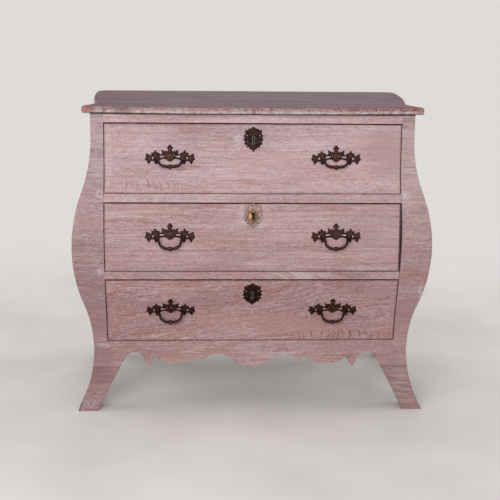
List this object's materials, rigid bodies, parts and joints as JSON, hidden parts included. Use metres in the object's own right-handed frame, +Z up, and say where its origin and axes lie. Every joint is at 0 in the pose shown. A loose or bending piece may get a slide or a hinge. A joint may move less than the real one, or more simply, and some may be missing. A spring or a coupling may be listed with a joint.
{
  "type": "chest of drawers",
  "caption": "Bombe chest in limed oak: drawers in a front and sides that swell, shaped top with ears, scalloped apron, splayed feet, pierced rococo bail pulls.",
  "frame": {"origin": "on the floor under the middle of the chest's bounding box", "axes": "+Z up, -Y towards the front where the drawers open, +X to the right seen from the front"},
  "size_m": [0.923, 0.5026, 0.8],
  "materials": {
    "limed_oak": "limed, waxed, worn",
    "plain_oak": "plain, unfinished",
    "dark_bronze": "dark patina, rubbed on the high spots",
    "worn_brass": "dull, worn bright",
    "lock_steel": "dull, lightly tarnished"
  },
  "bodies": {
    "case": {"top_board": "limed_oak", "stile_front_left": "limed_oak", "stile_front_right": "limed_oak", "stile_rear_left": "limed_oak", "stile_rear_right": "limed_oak", "side_panel_left": "limed_oak", "side_panel_right": "limed_oak", "back_boards": "plain_oak", "top_rail_front": "limed_oak", "drawer_rail_upper": "limed_oak", "drawer_rail_lower": "limed_oak", "rear_rails": "plain_oak", "drawer_runners": "plain_oak", "drawer_guides": "plain_oak", "drawer_stops": "plain_oak", "front_apron": "limed_oak", "side_apron_left": "limed_oak", "side_apron_right": "limed_oak", "foot_front_left": "limed_oak", "foot_front_right": "limed_oak", "foot_rear_left": "limed_oak", "foot_rear_right": "limed_oak", "bottom_board": "plain_oak", "glue_blocks": "plain_oak"},
    "drawer_top": {"drawer_front_top": "limed_oak", "drawer_side_left_top": "plain_oak", "drawer_side_right_top": "plain_oak", "drawer_back_top": "plain_oak", "drawer_bottom_top": "plain_oak", "pull_plates_top": "dark_bronze", "pull_posts_top": "dark_bronze", "escutcheon_top": "dark_bronze", "lock_case_top": "lock_steel"},
    "lock_bolt_top": {"lock_bolt_top": "lock_steel"},
    "bail_left_top": {"bail_left_top": "dark_bronze"},
    "bail_right_top": {"bail_right_top": "dark_bronze"},
    "drawer_middle": {"drawer_front_middle": "limed_oak", "drawer_side_left_middle": "plain_oak", "drawer_side_right_middle": "plain_oak", "drawer_back_middle": "plain_oak", "drawer_bottom_middle": "plain_oak", "pull_plates_middle": "dark_bronze", "pull_posts_middle": "dark_bronze", "escutcheon_middle": "worn_brass", "lock_case_middle": "lock_steel"},
    "lock_bolt_middle": {"lock_bolt_middle": "lock_steel"},
    "bail_left_middle": {"bail_left_middle": "dark_bronze"},
    "bail_right_middle": {"bail_right_middle": "dark_bronze"},
    "drawer_bottom": {"drawer_front_bottom": "limed_oak", "drawer_side_left_bottom": "plain_oak", "drawer_side_right_bottom": "plain_oak", "drawer_back_bottom": "plain_oak", "drawer_bottom_bottom": "plain_oak", "pull_plates_bottom": "dark_bronze", "pull_posts_bottom": "dark_bronze", "escutcheon_bottom": "dark_bronze", "lock_case_bottom": "lock_steel"},
    "lock_bolt_bottom": {"lock_bolt_bottom": "lock_steel"},
    "bail_left_bottom": {"bail_left_bottom": "dark_bronze"},
    "bail_right_bottom": {"bail_right_bottom": "dark_bronze"}
  },
  "joints": [
    {"name": "drawer_slide_top", "type": "slide", "parent": "case", "child": "drawer_top", "axis": [0, -1, 0], "range_m": [0, 0.32]},
    {"name": "bolt_slide_top", "type": "slide", "parent": "drawer_top", "child": "lock_bolt_top", "axis": [0, 0, 1], "range_m": [0, 0.008]},
    {"name": "bail_hinge_left_top", "type": "hinge", "parent": "drawer_top", "child": "bail_left_top", "pos_m": [-0.212, -0.20306, 0.66], "axis": [-1, 0, 0], "range_deg": [-15, 165]},
    {"name": "bail_hinge_right_top", "type": "hinge", "parent": "drawer_top", "child": "bail_right_top", "pos_m": [0.212, -0.20306, 0.66], "axis": [-1, 0, 0], "range_deg": [-15, 165]},
    {"name": "drawer_slide_middle", "type": "slide", "parent": "case", "child": "drawer_middle", "axis": [0, -1, 0], "range_m": [0, 0.32]},
    {"name": "bolt_slide_middle", "type": "slide", "parent": "drawer_middle", "child": "lock_bolt_middle", "axis": [0, 0, 1], "range_m": [0, 0.008]},
    {"name": "bail_hinge_left_middle", "type": "hinge", "parent": "drawer_middle", "child": "bail_left_middle", "pos_m": [-0.212, -0.24674, 0.466], "axis": [-1, 0, 0], "range_deg": [-13, 165]},
    {"name": "bail_hinge_right_middle", "type": "hinge", "parent": "drawer_middle", "child": "bail_right_middle", "pos_m": [0.212, -0.24674, 0.466], "axis": [-1, 0, 0], "range_deg": [-13, 165]},
    {"name": "drawer_slide_bottom", "type": "slide", "parent": "case", "child": "drawer_bottom", "axis": [0, -1, 0], "range_m": [0, 0.32]},
    {"name": "bolt_slide_bottom", "type": "slide", "parent": "drawer_bottom", "child": "lock_bolt_bottom", "axis": [0, 0, 1], "range_m": [0, 0.008]},
    {"name": "bail_hinge_left_bottom", "type": "hinge", "parent": "drawer_bottom", "child": "bail_left_bottom", "pos_m": [-0.212, -0.21487, 0.262], "axis": [-1, 0, 0], "range_deg": [-28, 165]},
    {"name": "bail_hinge_right_bottom", "type": "hinge", "parent": "drawer_bottom", "child": "bail_right_bottom", "pos_m": [0.212, -0.21487, 0.262], "axis": [-1, 0, 0], "range_deg": [-28, 165]}
  ]
}
